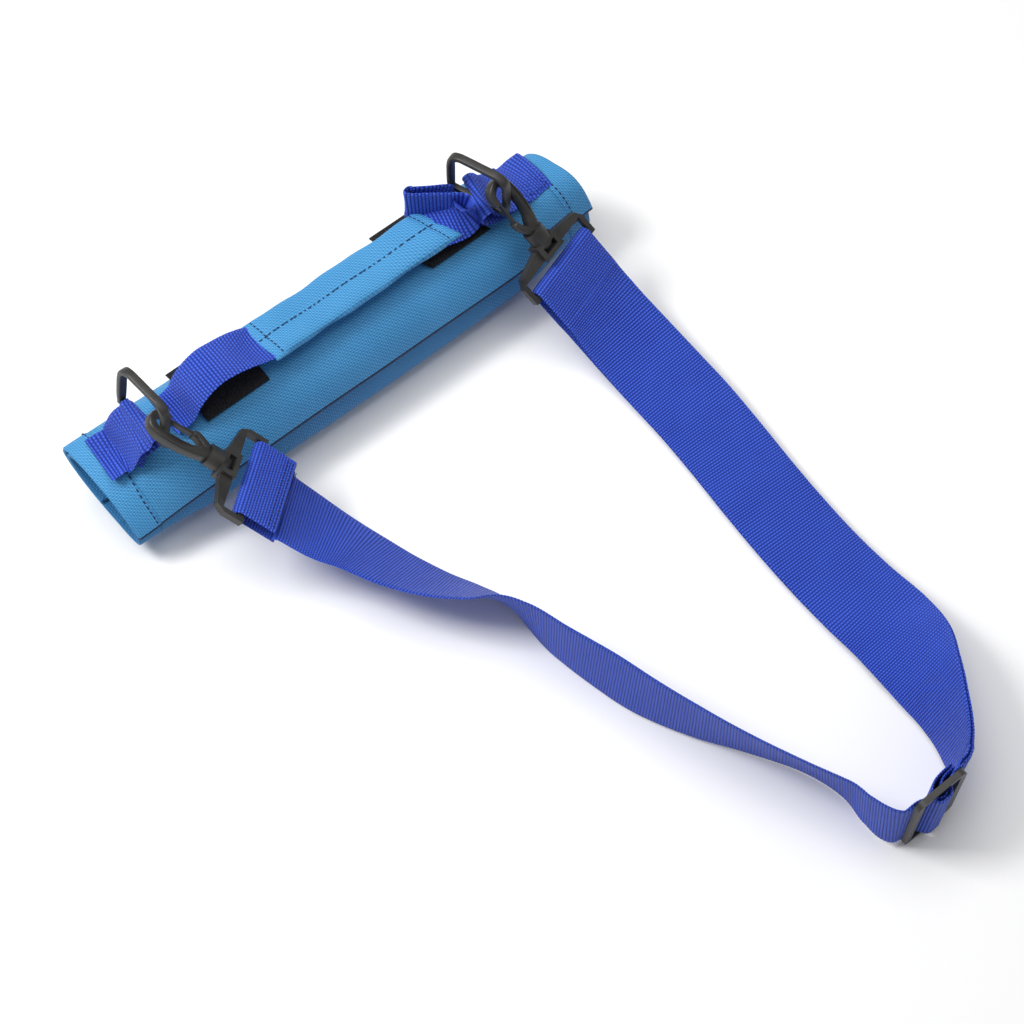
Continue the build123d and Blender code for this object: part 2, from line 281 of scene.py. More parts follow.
webbing = webbing_material("webbing", wide_rib)
narrow_webbing = webbing_material("narrow_webbing", narrow_rib)
sleeve_fabric = fabric_material("sleeve_fabric", 1.05)
# rolled=True gives the panel's and the hems' cloth painted shade under the free edge and a painted shadow
# line along it.
rolled_fabric = fabric_material("panel_fabric", rolled=True)
hem_fabric = fabric_material("hem_fabric", 1.05, rolled=True)
plastic = plastic_material()
closure = closure_material()
navy_thread = thread_material("navy_thread", (0.006, 0.012, 0.09))
blue_thread = thread_material("blue_thread", (0.05, 0.11, 0.62))

# ---------------------------------------------------------------- mesh helpers


def piece(name, points, faces, material, uv=None):
    """A mesh object from points in millimetres. uv is one pair for each point."""
    mesh = bpy.data.meshes.new(name)
    mesh.from_pydata((np.asarray(points) * MM).tolist(), [], faces)
    mesh.update()
    if uv is not None:
        layer = mesh.uv_layers.new(name="strip")
        index = np.zeros(len(mesh.loops), np.int32)
        mesh.loops.foreach_get("vertex_index", index)
        layer.data.foreach_set("uv", np.asarray(uv, np.float32)[index].ravel())
    mesh.polygons.foreach_set("use_smooth", [True] * len(mesh.polygons))
    mesh.materials.append(material)
    obj = bpy.data.objects.new(name, mesh)
    bpy.context.scene.collection.objects.link(obj)
    return obj


def tube_faces(rows, ring, start=0):
    """The wall and the two end caps of a tube whose points are rows of rings."""
    faces = []
    for i in range(rows - 1):
        for j in range(ring):
            k = (j + 1) % ring
            a = start + i * ring
            b = a + ring
            faces.append((a + j, a + k, b + k, b + j))
    faces.append(tuple(start + i for i in range(ring - 1, -1, -1)))
    faces.append(tuple(start + (rows - 1) * ring + i for i in range(ring)))
    return faces


def normalise(v):
    return v / np.maximum(np.linalg.norm(v, axis=-1, keepdims=True), 1e-9)


def smooth_route(stations, step):
    """Rows of numbers carried smoothly through the stations, about step apart along the first three."""
    p = np.array(stations, float)
    p = np.vstack([2 * p[0] - p[1], p, 2 * p[-1] - p[-2]])
    dense = []
    for i in range(1, len(p) - 2):
        t = np.linspace(0, 1, 40, endpoint=False)[:, None]
        a, b, c, d = p[i - 1], p[i], p[i + 1], p[i + 2]
        square = 2 * a - 5 * b + 4 * c - d
        cube = 3 * b - a - 3 * c + d
        dense.append(0.5 * (2 * b + (c - a) * t + square * t**2 + cube * t**3))
    dense = np.vstack([*dense, p[-2:-1]])
    s = np.concatenate([[0], np.cumsum(np.linalg.norm(np.diff(dense[:, :3], axis=0), axis=1))])
    at = np.linspace(0, s[-1], max(3, int(s[-1] / step) + 1))
    return np.stack([np.interp(at, s, dense[:, k]) for k in range(dense.shape[1])], axis=1), at


def strip(name, stations, width, material, columns=26, pitch=wide_rib, rib=0.16,
          thickness=webbing_thickness, trim=0.0):
    """Webbing through stations of (x, y, z, across x, y, z, bow): both faces ribbed, the edges serrated.

    The first trim millimetres only steer the direction and are cut off.
    """
    edge_notch = 0.25
    rows = [tuple(s) + (0.0,) * (7 - len(s)) for s in stations]
    line, s = smooth_route(rows, 0.35)
    keep = s >= trim
    along = normalise(np.gradient(line[:, :3], axis=0))[keep]
    line, s = line[keep], s[keep]
    centre, across, bow = line[:, :3], normalise(line[:, 3:6]), line[:, 6]
    across = normalise(across - along * (across * along).sum(1, keepdims=True))
    normal = np.cross(across, along)
    ridge = np.abs(np.sin(np.pi * s / pitch))
    half = width / 2 + edge_notch * (ridge - 0.6)
    v = np.linspace(-1, 1, columns)
    edge = np.clip((1 - np.abs(v)) * width / 2 / (thickness * 0.5), 0, 1) ** 0.5
    points, uv = [], []
    for side in (1, -1):
        order = v if side > 0 else v[::-1]
        lift = (thickness / 2 + rib * (ridge[:, None] - 0.6)) * edge[None, :] * side
        lift = lift - bow[:, None] * order[None, :] ** 2
        points.append(centre[:, None] + across[:, None] * (half[:, None] * order[None, :])[..., None]
                      + normal[:, None] * lift[..., None])
        uv.append(np.stack(np.broadcast_arrays(s[:, None], order[None, :] * width / 2), axis=-1))
    points, uv = np.concatenate(points, axis=1), np.concatenate(uv, axis=1)
    faces = tube_faces(*points.shape[:2])
    obj = piece(name, points.reshape(-1, 3), faces, material, uv.reshape(-1, 2))
    return obj


def stitches(name, starts, ends, normals, radius, material):
    """Short threads from starts to ends, each a little bar arched over the cloth."""
    points, faces = [], []
    sides, stations = 6, 7
    for a, b, n in zip(starts, ends, normals):
        a, b, n = (np.array(q, float) for q in (a, b, n))
        along = normalise(b - a)
        across = np.cross(n, along)
        start = len(points)
        for t in np.linspace(0, 1, stations):
            swell = math.sin(math.pi * t)
            middle = a + (b - a) * t + n * radius * 1.1 * (swell**0.5 - 0.75)
            r = radius * (0.45 + 0.55 * swell**0.4)
            for q in range(sides):
                turn = 2 * math.pi * q / sides
                points.append(middle + across * r * math.cos(turn) + n * r * math.sin(turn))
        faces += tube_faces(stations, sides, start)
    return piece(name, points, faces, material)


# ---------------------------------------------------------------- rolled panel

roll_radius, roll_flat, roll_y, roll_pitch = 30.5, 6.0, -1.5, 4.4
roll_half, hem_inner, hem_lap = 160.0, 145.0, 0.4
free_edge_angle = 76.0
turn_step = roll_pitch / 2


def spiral(step):
    """The rolled sheet's mid line from the free edge inwards, and how far along it each row is.

    A row is (y, z, normal y, normal z).
    """
    half = roll_flat / 2
    mid_depth = 0.75
    first = roll_radius - mid_depth
    top = roll_radius + first
    outermost = first + turn_step
    runs = [(-half, top - outermost, outermost, 90 + free_edge_angle, 90)]
    centre, radius, side = roll_radius, first, 1
    for _ in range(3):
        begin = 90 if side > 0 else 270
        runs.append((side * half, centre, radius, begin, begin - 180))
        finish = centre - side * radius
        radius -= turn_step
        centre = finish + side * radius
        side = -side
    rows = []
    for y, z, r, a, b in runs:
        count = max(4, int(math.radians(abs(a - b)) * r / step))
        for t in np.radians(np.linspace(a, b, count)):
            rows.append((y + r * math.cos(t), z + r * math.sin(t), math.cos(t), math.sin(t)))
    return evenly_spaced(np.array(rows), step)


def evenly_spaced(rows, step):
    """The same rows about step apart, and how far along each one is."""
    s = np.concatenate([[0], np.cumsum(np.linalg.norm(np.diff(rows[:, :2], axis=0), axis=1))])
    keep = np.concatenate([[True], np.diff(s) > 1e-6])
    at = np.linspace(0, s[-1], int(s[-1] / step) + 1)
    return np.stack([np.interp(at, s[keep], rows[keep, k]) for k in range(rows.shape[1])], axis=1), at


def ease(x, low, high):
    """0 below low, 1 above high, and a smooth climb between."""
    t = np.clip((x - low) / (high - low), 0, 1)
    return t * t * (3 - 2 * t)


def deform(points):
    """The left end is pressed flat and tilted forwards; the right end is drawn in and cut askew."""
    x, y, z = (points[..., k] + 0.0 for k in range(3))
    press = ease(-x, 100, roll_half)
    flat_z = 33 + (z - 31) * 0.50 + y * 0.27
    flat_y = np.where(y < 0, y * 0.88, y * 0.97)
    z = z + (flat_z - z) * press
    x = x - (2.5 + y * 0.06) * press
    y = y + (flat_y - y) * press
    drawn = ease(x, 100, roll_half)
    z = z + (30 - z) * 0.08 * drawn
    x = x - (y + 2) * 0.20 * drawn
    y = y + (-2 - y) * 0.24 * drawn
    return np.stack([x, y, z], axis=-1)


def ripple(x, s):
    """Slow dents and creases in the outer layer, in millimetres."""
    slow = 0.35 * np.sin(x / 31.0 + s / 17.0) + 0.25 * np.sin(x / 13.0 - s / 29.0 + 1.3)
    ends = ease(np.abs(x), 110, roll_half)
    crease = 0.7 * np.sin(s / 6.5 + x / 40.0) * ends
    return slow + crease


def roll_surface(x, rows, s, offset):
    """Points at every x and every place along the spiral, offset outwards.

    The free edge lifts off as a lip, and the layer under it sags out in front, but not at the floor.
    """
    lip_lift, lip_reach = 1.7, 9.0
    outer_turn_end = 95
    under_from, under_to = 120, 260
    sag_angle, sag_spread, sag_depth = 122, 27.0, 6.6
    floor_band = 3.0
    base = np.stack(np.broadcast_arrays(x[None, :], rows[:, 0:1] + roll_y, rows[:, 1:2]), axis=-1)
    normal = np.stack(np.broadcast_arrays(0 * x[None, :], rows[:, 2:3], rows[:, 3:4]), axis=-1)
    outer = ease(s[:, None], -30, 40) * (s[:, None] < outer_turn_end)
    lift = offset + ripple(x[None, :], s[:, None]) * outer
    lift = lift + lip_lift * np.exp(-s[:, None] / lip_reach)
    turned = np.degrees(np.arctan2(-rows[:, 2:3], rows[:, 3:4]))
    under = (s[:, None] > under_from) & (s[:, None] < under_to)
    sag = np.exp(-((turned - sag_angle) / sag_spread) ** 2) * under
    wavy = sag_depth + 0.8 * np.sin(x[None, :] / 47.0 + 1.0)
    lift = lift + sag * wavy * (rows[:, 1:2] > floor_band)
    lift = np.where(rows[:, 1:2] < floor_band, offset, lift)
    return deform(base + normal * lift[..., None])


def cloth_shell(name, x_low, x_high, x_step, outer, inner, material, round_ends):
    """Closed cloth along the whole spiral, its faces at outer and inner from the spiral's mid line."""
    rows, s = spiral(1.0)
    x = np.linspace(x_low, x_high, int((x_high - x_low) / x_step) + 1)
    taper = np.ones_like(x)
    if round_ends:
        room = np.minimum(x - x_low, x_high - x) / 0.8
        taper = np.clip(room, 0.15, 1) ** 0.5
    middle = (outer + inner) / 2
    high = roll_surface(x, rows, s, middle + (outer - middle) * taper[None, :])
    low = roll_surface(x, rows, s, middle + (inner - middle) * taper[None, :])
    points = np.concatenate([high, low[:, ::-1]], axis=1)
    uv_s = np.broadcast_to(s[:, None], high.shape[:2])
    uv_x = np.broadcast_to(x[None, :], high.shape[:2])
    top = np.stack([uv_s, uv_x], axis=-1)
    uv = np.concatenate([top, top[:, ::-1]], axis=1)
    faces = tube_faces(*points.shape[:2])
    obj = piece(name, points.reshape(-1, 3), faces, material, uv.reshape(-1, 2))
    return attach(obj, "root")


def hem_band(name, x_low, x_high, node):
    """The doubled cloth at one end of the roll."""
    band = cloth_shell(name, x_low, x_high, x_step=0.75, outer=0.95, inner=-1.15, material=hem_fabric,
                       round_ends=True)
    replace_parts(band, node)


panel = cloth_shell("panel_sheet", -hem_inner, hem_inner, x_step=3.0, outer=0.45, inner=-0.45,
                    material=rolled_fabric, round_ends=False)
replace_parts(panel, "roll_panel")
hem_band("hem_band_left", -roll_half, -hem_inner + hem_lap, "hem_left")
hem_band("hem_band_right", hem_inner - hem_lap, roll_half, "hem_right")


def hem_stitching(name, x, jog):
    """A row of stitches round the roll at x, which strays by jog where the tab lies over it."""
    step, first, last, thread_length, pitch = 0.5, 3.0, 150.0, 2.6, 4.0
    tab_place, tab_reach = 40, 14.0
    height = 1.25
    rows, s = spiral(step)
    starts, ends, normals = [], [], []
    for place in np.arange(first, last, pitch):
        i, k = int(place / step), int((place + thread_length) / step)
        shift = jog * math.exp(-((place - tab_place) / tab_reach) ** 2)
        for target, index in ((starts, i), (ends, k)):
            at = roll_surface(np.array([x + shift]), rows[index:index + 1], s[index:index + 1], height)
            target.append(at[0, 0])
        normals.append((0, rows[i, 2], rows[i, 3]))
    obj = stitches(name, starts, ends, normals, 0.42, navy_thread)
    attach(obj, "root")


hem_stitching("hem_stitch_left", -147.0, 2.4)
hem_stitching("hem_stitch_right", 147.0, 0.0)
length = float(spiral(1.0)[1][-1]) * MM

# ---------------------------------------------------------------- ring tabs


def box_stitch(name, corners, lift):
    """The square with a cross that holds a tab down; corners go round it on the webbing's face."""
    paths = [(0, 1), (1, 2), (2, 3), (3, 0), (0, 2), (1, 3)]
    pitch = 2.6
    starts, ends, normals = [], [], []
    c = [np.array(p, float) for p in corners]
    for a, b in paths:
        run = np.linalg.norm(c[b] - c[a])
        count = int(run / pitch)
        for k in range(count):
            p, q = (c[a] + (c[b] - c[a]) * (k + t) / count for t in (0.12, 0.82))
            starts.append(lift(p))
            ends.append(lift(q))
            normals.append((0, 0, 1))
    obj = stitches(name, starts, ends, normals, 0.3, blue_thread)
    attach(obj, "root")


def roll_top(x, y, extra):
    """Height of the roll's outer face over a point, with the dents of the panel left out."""
    reach = max(abs(y - roll_y) - roll_flat / 2, 0.0)
    z = roll_radius + math.sqrt(max(roll_radius**2 - reach**2, 1.0))
    return float(deform(np.array([x, y, z + extra]))[2])


def make_tab(side, stations, corners):
    """Webbing sewn to the roll at one end, up and round the ring's rod, and back down."""
    obj = strip(f"tab_webbing_{side}", stations, tab_width, narrow_webbing, columns=20, pitch=narrow_rib)
    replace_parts(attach(obj, "root"), f"tab_{side}")
    webbing_face = 2.45
    box_stitch(f"tab_stitch_{side}", corners, lambda p: (p[0], p[1], roll_top(p[0], p[1], webbing_face)))


def over_roll(x, y, extra, bow=2.6):
    """A station of webbing that lies bowed over the roll."""
    return (x, y, roll_top(x, y, extra), 0, 1, 0, bow)


make_tab("left", [
    over_roll(-154.5, 6.5, 1.9), over_roll(-148, 6, 1.9), over_roll(-141.5, 5, 2.2),
    (-136.5, 2.5, 67.5, 0, 1, 0, 1.0), (-132, 0.5, 73.4, -0.05, 1, 0, 0.2), (-129.8, -0.5, 77.6, -0.06, 1, 0),
    (-126.6, -1, 79.4, -0.07, 1, 0), (-123.9, -1, 76.6, -0.07, 1, 0), (-125.2, -1, 72.6, -0.07, 1, 0),
    (-129.5, 0, 69, -0.05, 1, 0, 0.3), (-134, 2.5, 65.2, 0, 1, 0, 1.3), over_roll(-139.5, 4.5, 0.9)],
    [(-153, 18.5), (-142.5, 18), (-142.5, -6.5), (-153, -5.5)])
make_tab("right", [
    over_roll(148.5, 2.5, 1.9), over_roll(141, 2, 1.9), over_roll(133, 0.5, 2.2),
    (124, -1, 65.4, 0.1, 1, 0, 1.6), (113.5, -2.4, 70.8, 0.25, 1, 0, 0.4), (106.2, -3, 77.6, 0.34, 0.94, 0),
    (102.6, -3, 79.4, 0.34, 0.94, 0), (99.9, -3, 76.4, 0.34, 0.94, 0), (101.6, -3, 72.7, 0.34, 0.94, 0),
    (108, -2.6, 68.6, 0.3, 0.95, 0, 0.3), (118, -1.5, 64.2, 0.15, 1, 0, 1.5), over_roll(129, 0, 0.8)],
    [(146.5, 14.5), (134, 13), (134, -11.5), (146.5, -10)])

# ---------------------------------------------------------------- hooks' frames


class Hook:
    """A snap hook's own axes: along it from claw to strap, along the strap's bar, and out of its face."""

    def __init__(self, origin, yaw, pitch, roll, turn):
        yaw, pitch, roll = map(math.radians, (yaw, pitch, roll))
        self.origin = np.array(origin, float)
        level = math.cos(pitch)
        self.along = np.array([math.sin(yaw) * level, -math.cos(yaw) * level, -math.sin(pitch)])
        flat = np.array([math.cos(yaw), math.sin(yaw), 0])
        up = np.cross(self.along, flat)
        self.bar = flat * math.cos(roll) + up * math.sin(roll)
        self.out = np.cross(self.along, self.bar)
        self.turn = turn

    def at(self, x, y=0.0, z=0.0):
        return self.origin + self.along * x + self.bar * y + self.out * z

    def metres(self, x):
        return tuple(self.at(x) * MM)

    def station(self, x, z):
        return (*self.at(x, 0, z), *self.bar)


left_hook = Hook(origin=(-129.8, -5.8, 98.4), yaw=32.0, pitch=36.0, roll=-14.0, turn=1)
right_hook = Hook(origin=(104.0, -7.2, 103.8), yaw=22.0, pitch=47.0, roll=8.0, turn=-1)

# ---------------------------------------------------------------- shoulder strap

left_route = [
    (-79.0, -91.0, 24.5, 36, 19, -24), (-70.0, -109.0, 19.0, 35, 20, -29), (-61.0, -132.0, 19.0, 33, 19, -33),
    (-50.5, -153, 20.5, 29, 18, -37), (-39.0, -170, 22.0, 23, 17, -41), (-29.5, -184, 23.5, 15, 15, -45),
    (-24.0, -203, 25.0, 3, 14, -48), (-19.5, -226, 25.2, -4, 14, -48), (-12.5, -252, 25.2, -8, 13, -47.6),
    (-4.5, -279.0, 25.4, -8, 12, -48), (7.0, -307.0, 25.5, -3, 11, -49), (20.5, -334.0, 25.6, 5, 11, -48.5),
    (34.0, -361.0, 25.6, 10, 10, -48), (42.0, -383.0, 25.8, 8, 8, -48.8), (43.0, -399.0, 26.4, 4, 4, -49.7),
    (44.6, -409.5, 27.2, 1, 1, -50), (48.6, -416.2, 28.0, 0, 0, -50), (55.4, -418.4, 28.4, 0, 0, -50)]
right_route = [
    (132.2, -79, 23.2, 47.0, 16, 6.6), (134.8, -93, 15.2, 48.3, 12, 6.4), (136.4, -111, 10, 49.2, 7, 6.8),
    (137.0, -133.0, 7.5, 49.5, 3, 7), (137.0, -158.0, 6.2, 50, 1, 6), (135.5, -187.0, 5.0, 50, 1, 4),
    (133.0, -217.0, 4.6, 50, 2, 3), (131.0, -247.0, 4.6, 50, 4, 3), (130.0, -276.0, 5.0, 50, 5, 4),
    (130.0, -303.0, 6.8, 49.5, 4, 7), (130.0, -328.0, 11.0, 47.5, 1, 15), (126.0, -350.0, 18.5, 39, -3, 30),
    (119.5, -369.0, 24.0, 25, -6, 43), (113.0, -386.0, 26.0, 12, -9, 47.6), (106.0, -401.0, 26.4, 4, -8, 49),
    (99.4, -410.6, 26.8, 0, -4, 50), (94.2, -414.4, 27.6, 0, -1, 50), (87.6, -415.7, 28.4, 0, 0, 50)]

# Places along a hook's axis: its loop's bar, where the webbing bends, and where the strap's run takes over.
bar_x = 73.75
bend_from = 84.0
cut = 99.0
bar_layer = 2.95 + 0.8
lead = (cut - 8, cut - 0.3)
lead_in = 7.7


def round_bar(hook, upper, lower):
    """Webbing along the top of the hook's axis, round the loop's bar and back along the underside."""
    rows = [hook.station(x, bar_layer) for x in np.linspace(upper, bar_x + 3, 4)]
    for a in np.radians((15, 50, 90, 130, 165)):
        rows.append(hook.station(bar_x - bar_layer * math.sin(a), bar_layer * math.cos(a)))
    rows += [hook.station(x, -bar_layer) for x in np.linspace(bar_x + 3, lower, 4)]
    return rows


def flipped(rows):
    """The same stations with the webbing's two edges swapped, so that its faces look outwards."""
    return [(*r[:3], -r[3], -r[4], -r[5]) for r in rows]


def follow_swivel(obj, hook):
    hook.metres(bend_from)
    hook.metres(cut)
    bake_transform(obj)


def tail_stitching(hook):
    """Two rows of thread across the webbing's sewn tail."""
    count, reach, thread_length = 17, 23, 1.9
    face = bar_layer + 0.85
    starts, ends, normals = [], [], []
    for x in (89.2, 92.6):
        for k in range(count):
            y = -reach + 2 * reach * k / count
            starts.append(hook.at(x, y, face))
            ends.append(hook.at(x, y + thread_length, face))
            normals.append(hook.out)
    return stitches("strap_tail_stitching", starts, ends, normals, 0.34, navy_thread)


def make_left_strap():
    end = strip("strap_left_end", flipped(round_bar(left_hook, 95.0, cut)), strap_width, webbing)
    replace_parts(end, "strap_end_sewn")
    follow_swivel(end, left_hook)
    stations = flipped([left_hook.station(x, -bar_layer) for x in lead] + left_route)
    run = strip("strap_left_run", stations, strap_width, webbing, trim=lead_in)
    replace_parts(run, "strap_single_run")
    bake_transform(run)
    thread = tail_stitching(left_hook)
    follow_swivel(thread, left_hook)


def doubled(name, side, node):
    """One of the right run's two layers; they close up from the bar's thickness to 1 mm either side."""
    shifts = np.concatenate([[bar_layer, bar_layer, 3.0, 2.0, 1.4], np.full(len(right_route) - 3, 1.0)])
    rows = np.array([right_hook.station(x, 0) for x in lead] + right_route, float)
    centre, across = rows[:, :3], normalise(rows[:, 3:6])
    along = normalise(np.gradient(centre, axis=0))
    normal = normalise(np.cross(along, across))
    rows[:, :3] = centre + normal * (shifts * side)[:, None]
    rows[:2, :3] = [right_hook.at(x, 0, bar_layer * side) for x in lead]
    obj = strip(name, flipped([tuple(r) for r in rows]), strap_width, webbing, trim=lead_in)
    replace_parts(obj, node)
    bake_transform(obj)


def make_right_strap():
    turn = strip("strap_right_turn", flipped(round_bar(right_hook, cut, cut)), strap_width, webbing)
    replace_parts(turn, "strap_turn")
    follow_swivel(turn, right_hook)
    doubled("strap_outer_layer", 1, "strap_outer_run")
    doubled("strap_inner_layer", -1, "strap_inner_run")


def upright(path):
    """Stations of webbing that stands on edge in the slider, from places (x, y) about the slider's middle."""
    middle_x, middle_y, middle_z = 70.0, -420.0, 28.5
    return [(middle_x + x, middle_y + y, middle_z, 0, 0, 1) for x, y in path]


def make_slider_webbing():
    half = [(20, 3.2), (13, 3.1), (8, 1.0), (4, -4.3)]
    woven = [*half, (0, -4.9), *((-x, y) for x, y in reversed(half))]
    weave = strip("strap_weave_layer", upright(woven), strap_width, webbing)
    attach(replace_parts(weave, "strap_weave"), "slider")
    looped = [(15, 5.4), (8, 5.0), (3.4, 2.6), (3.0, -1.6), (0, -3.0),
              (-3.0, -1.6), (-2.6, 3.0), (2, 6.0), (8, 7.2), (15, 7.4)]
    sewn = strip("strap_sewn_loop", upright(looped), 48.0, webbing, thickness=1.3)
    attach(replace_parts(sewn, "strap_sewn_end"), "slider")


make_left_strap()
make_right_strap()
make_slider_webbing()

# ---------------------------------------------------------------- carry handle


def handle_strip(name, stations):
    """Handle webbing through the stations, its foot lying on the roll."""
    obj = strip(name, stations, handle_width, narrow_webbing, columns=18, pitch=narrow_rib, rib=0.2)
    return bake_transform(obj)


handle_left = handle_strip("handle_webbing_left", [
    (-114, 0, 62.3, 0, 1, 0, 2.2), (-107, 0, 62.8, 0, 1, 0, 2.2), (-101.5, 0, 67.0, 0, 1, 0, 0.8),
    (-97, 0, 75.0, 0, 1, 0, 0), (-90, 0, 81.5, 0, 1, 0, -0.5), (-81, 0, 85.0, 0, 1, 0, -0.8),
    (-71, 0, 83.5, 0, 1, 0, -0.5), (-62, 0, 79.0, 0, 1, 0.05, 1.5), (-55, 0, 74.8, 0, 1, 0.05, 2.5),
    (-47, 0, 72.8, 0, 1, 0, 0.8), (-38, 0, 72.6, 0, 1, 0, 0)])
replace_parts(handle_left, "handle_webbing", "handle_anchor_left")
handle_right = handle_strip("handle_webbing_right", [
    (55, 0, 72.6, 0, 1, 0), (66, -0.5, 72.8, 0, 1, 0), (74, -2, 73.6, 0.05, 1, 0.1),
    (82, -4, 75.4, 0.1, 0.9, 0.35), (89, -6.5, 78, 0.1, 0.6, 0.8), (92.5, -6.8, 80, 0, 0.2, 1),
    (91, -3.5, 81.2, 0, 0, 1), (84, 1.6, 81.6, 0, 0, 1), (76, 8, 81.6, 0, 0, 1), (69, 13.4, 81.4, 0, 0, 1),
    (66.8, 16.6, 81.2, 0, 0, 1), (69.6, 18.4, 80.6, 0, 0, 1), (76, 14.6, 79, 0, 0.15, 1),
    (84, 8, 75, 0, 0.6, 0.8), (90, 2, 70, 0, 1, 0.3), (93.5, 0, 66.2, 0, 1, 0, 0.8),
    (100, 0, 63, 0, 1, 0, 2)])
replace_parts(handle_right, "handle_anchor_right")


sleeve_low, sleeve_high = -51.5, 68.5
seam_y = 0.6


def make_sleeve():
    """The padded grip: two crowned lobes with the seam between them."""
    rows, ring = 96, 44
    x = np.linspace(sleeve_low, sleeve_high, rows)
    turn = np.linspace(0, 2 * math.pi, ring, endpoint=False)
    c, s = np.cos(turn), np.sin(turn)
    flat = np.sign(c) * np.abs(c) ** 0.55
    tall = np.sign(s) * np.abs(s) ** 0.75
    points, uv = [], []
    for px in x:
        end = min(px - x[0], x[-1] - px)
        close = 0.42 + 0.58 * min(end / 3.0, 1.0) ** 0.5
        half = 14.2 + 0.35 * math.sin(px / 9.0) + 0.25 * math.sin(px / 4.1 + 1)
        deep = (2.6 + 1.1 * min(end / 9.0, 1.0)) * close
        y = flat * half
        seam = 1.5 * np.exp(-((y - seam_y) / 1.1) ** 2) * (tall > 0)
        z = 72.7 + tall * deep * (1.0 + 0.12 * math.sin(px / 7.0)) - seam * min(end / 4.0, 1.0)
        z = z - 0.5 * np.exp(-((end - 6.0) / 1.0) ** 2) * tall
        z = z - 0.7 * (1 - (px / 60.0 - 0.14) ** 2)
        slant = (8.5 - 5.0 * y / 14) * ease(px, 30, sleeve_high)
        slant = slant + (2.0 - 2.2 * y / 14) * ease(-px, 20, -sleeve_low)
        points.append(np.stack([px + slant, y, z], axis=-1))
        uv.append(np.stack([np.full(ring, px), y + np.sign(s) * 0.2], axis=-1))
    points, uv = np.array(points), np.array(uv)
    faces = tube_faces(rows, ring)
    obj = piece("handle_sleeve_pad", points.reshape(-1, 3), faces, sleeve_fabric, uv.reshape(-1, 2))
    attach(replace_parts(obj, "handle_sleeve"), "handle")
    return points


sleeve_points = make_sleeve()


def sleeve_point(px, y):
    """The pad's outer face at a place along it and across it."""
    share = (px - sleeve_low) / (sleeve_high - sleeve_low)
    row = sleeve_points[int(round(share * (len(sleeve_points) - 1)))]
    top = row[row[:, 2] > row[:, 2].mean()]
    order = np.argsort(top[:, 1])
    at = [np.interp(y, top[order, 1], top[order, k]) for k in (0, 2)]
    return (at[0], y, at[1] + 0.15)


def sleeve_stitching():
    """A row of thread across each end of the sleeve, and one along its seam."""
    starts, ends, normals = [], [], []
    for px in (sleeve_low + 6, sleeve_high - 6):
        for y in np.arange(-13.0, 11.5, 2.7):
            starts.append(sleeve_point(px, y))
            ends.append(sleeve_point(px, y + 2.2))
            normals.append((0, 0, 1))
    for px in np.arange(-50, 64, 3.2):
        starts.append(sleeve_point(px, seam_y))
        ends.append(sleeve_point(px + 2.3, seam_y))
        normals.append((0, 0, 1))
    obj = stitches("sleeve_stitching", starts, ends, normals, 0.36, navy_thread)
    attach(obj, "handle")


sleeve_stitching()

# ---------------------------------------------------------------- hook-and-loop closures


def plate(name, path, x_low, x_high, thickness, material, skew=0.0):
    """A thin strip that follows a path of (y, z) and is as wide as x_low to x_high, with rounded edges."""
    line, s = smooth_route([(0.0, y, z, 1, 0, 0) for y, z in path], 0.8)
    centre = line[:, :3]
    along = normalise(np.gradient(centre, axis=0))
    normal = np.cross(np.array([1.0, 0, 0]), along)
    columns, rounded = 40, 0.9
    v = np.linspace(0, 1, columns)
    x = x_low + (x_high - x_low) * v
    edge = np.clip(np.minimum(v, 1 - v) * (x_high - x_low) / rounded, 0.1, 1) ** 0.5
    tip = np.clip(np.minimum(s, s[-1] - s) / rounded, 0.1, 1) ** 0.5
    points = []
    for side in (1, -1):
        order = slice(None) if side > 0 else slice(None, None, -1)
        lift = side * thickness / 2 * edge[order][None, :] * tip[:, None]
        base = centre[:, None] + np.stack([x[order], 0 * x, 0 * x], axis=-1)[None]
        base = base + np.array([skew, 0, 0]) * (1 - s / s[-1])[:, None, None]
        points.append(base + normal[:, None] * lift[..., None])
    points = np.concatenate(points, axis=1)
    faces = tube_faces(*points.shape[:2])
    return piece(name, points.reshape(-1, 3), faces, material)


def roll_arc(front, back, lift):
    """Points over the roll's top from front degrees on the strap side to back degrees behind."""
    half = roll_flat / 2
    rows = []
    for a in np.linspace(90 + front, 90, 6):
        t, r = math.radians(a), roll_radius + lift + turn_step
        rows.append((-half + roll_y + r * math.cos(t), roll_radius - turn_step + r * math.sin(t)))
    for a in np.linspace(90, 90 - back, 4):
        t, r = math.radians(a), roll_radius + lift
        rows.append((half + roll_y + r * math.cos(t), roll_radius + r * math.sin(t)))
    return rows


def make_closure(side, low, high, skew):
    """A hook-and-loop strap over the roll, and its free end behind, which peels."""
    tape_path = roll_arc(front=18, back=15, lift=1.4)
    tape = plate(f"closure_tape_{side}", tape_path, low, high, 2.2, closure, skew)
    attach(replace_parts(tape, f"closure_strip_{side}"), "root")
    flap_path = [(11.4, 61.0), (16.0, 59.2), (21.0, 57.1), (26.5, 54.9)]
    flap = plate(f"closure_tab_{side}", flap_path, low, high, 1.3, closure)
    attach(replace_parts(flap, f"closure_flap_{side}"), f"flap_{side}")


make_closure("left", -96.0, -54.0, skew=0.0)
make_closure("right", 46.0, 88.0, skew=14.0)

# ---------------------------------------------------------------- moulded plastic


